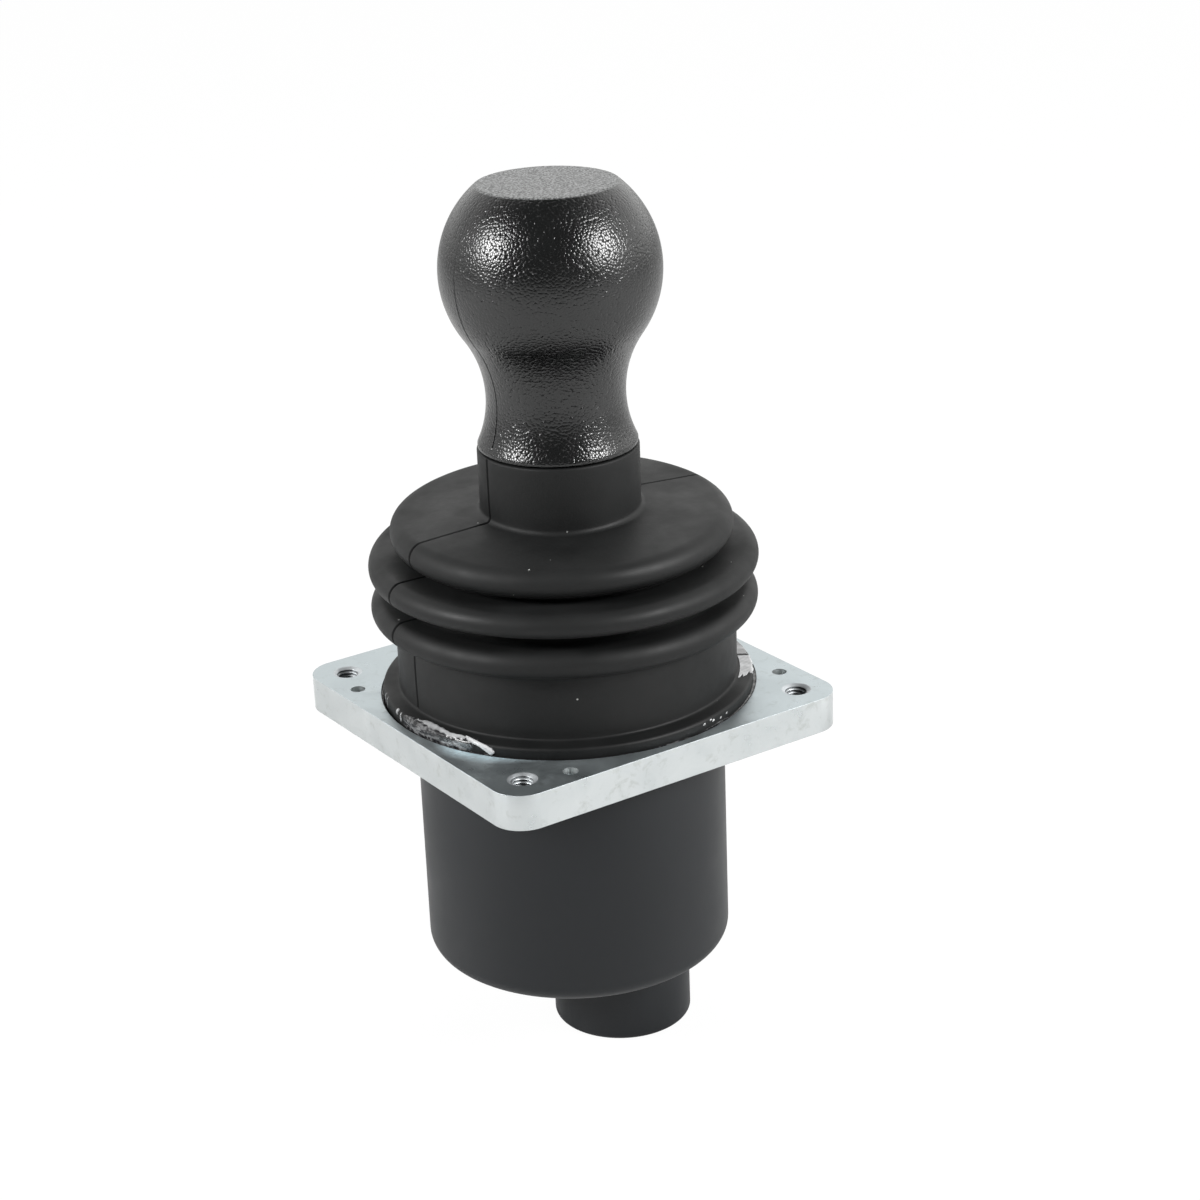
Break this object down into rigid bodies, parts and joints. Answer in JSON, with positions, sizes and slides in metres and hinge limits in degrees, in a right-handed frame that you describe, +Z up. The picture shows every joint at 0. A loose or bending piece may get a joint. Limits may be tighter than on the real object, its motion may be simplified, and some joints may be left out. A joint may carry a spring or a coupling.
{
  "type": "industrial joystick",
  "caption": "Two-axis spring-return joystick: ball-top knob, folded rubber boot, square flange with tapped holes for under-panel fixing, round housing, bottom connector socket",
  "frame": {"origin": "centre of the flange plate's top face, which lies against the panel's underside", "axes": "+Z up the stick at rest; X is the gimbal ring's axis in the frame and Y the stick's axis in the ring; the plate's sides are square to X and Y"},
  "size_m": [0.088, 0.088, 0.1969],
  "materials": {
    "zinc_plate": "bright zinc plating, slightly cloudy",
    "black_nylon": "satin black moulding",
    "seal_rubber": "smooth black",
    "boot_rubber": "matt black moulded rubber",
    "sealant": "whitish cured sealant",
    "cast_aluminium": "fine cast surface, machined seats",
    "hard_steel": "phosphated, dark grey",
    "screw_steel": "plain steel",
    "bronze": "sintered bronze",
    "spring_steel": "drawn wire",
    "ground_steel": "ground",
    "brass": "turned",
    "white_plastic": "natural moulding",
    "magnet": "nickel plated",
    "circuit_board": "green solder mask",
    "chip_black": "moulded",
    "flex_lead": "amber film",
    "nickel": "nickel plated",
    "black_insulator": "moulded",
    "gold_contact": "gold plated",
    "red_lead": "insulated wire",
    "knob_plastic": "fine leather-like grain, satin"
  },
  "bodies": {
    "base": {"flange_plate": "zinc_plate", "housing_can": "black_nylon", "rim_seal": "seal_rubber", "boot": "boot_rubber", "sealant_bead": "sealant", "pivot_frame": "cast_aluminium", "travel_gate": "hard_steel", "stack_screws": "screw_steel", "gimbal_bushes": "bronze", "bail_bushes": "bronze", "gimbal_spring": "spring_steel", "bail_spring": "spring_steel", "sensor_boards": "circuit_board", "hall_sensors": "chip_black", "sensor_flexes": "flex_lead", "control_board": "circuit_board", "board_components": "chip_black", "board_spacers": "brass", "board_screws": "screw_steel", "board_header": "white_plastic", "connector_shell": "black_nylon", "connector_seal": "seal_rubber", "connector_nut": "nickel", "connector_insert": "black_insulator", "connector_contacts": "gold_contact", "connector_leads": "red_lead"},
    "gimbal": {"gimbal_ring": "cast_aluminium", "gimbal_spring_pin": "ground_steel", "gimbal_sensor_pin": "ground_steel", "gimbal_lever": "brass", "gimbal_magnet_holder": "white_plastic", "gimbal_magnet": "magnet"},
    "bail": {"bail": "hard_steel", "bail_spring_pin": "ground_steel", "bail_sensor_pin": "ground_steel", "bail_lever": "brass", "bail_magnet_holder": "white_plastic", "bail_magnet": "magnet"},
    "stick": {"pivot_block": "hard_steel", "cross_pin": "ground_steel", "cross_pin_clips": "spring_steel", "shaft": "ground_steel", "jam_nut": "screw_steel", "knob_insert": "brass", "knob": "knob_plastic"}
  },
  "joints": [
    {"name": "tilt_x", "type": "hinge", "parent": "base", "child": "gimbal", "pos_m": [0, 0, -0.019], "axis": [1, 0, 0], "range_deg": [-20, 20], "stiffness_Nm_per_rad": 2, "deforming": ["boot", "gimbal_spring"]},
    {"name": "tilt_y", "type": "hinge", "parent": "gimbal", "child": "stick", "pos_m": [0, 0, -0.019], "axis": [0, 1, 0], "range_deg": [-20, 20], "stiffness_Nm_per_rad": 2, "deforming": ["boot", "bail_spring"]},
    {"name": "bail_tilt", "type": "hinge", "parent": "base", "child": "bail", "pos_m": [0, 0, -0.019], "axis": [0, 1, 0], "range_deg": [-20, 20]}
  ],
  "couplings": [
    {"joint": "bail_tilt", "follows": "tilt_y", "ratio": 1}
  ]
}
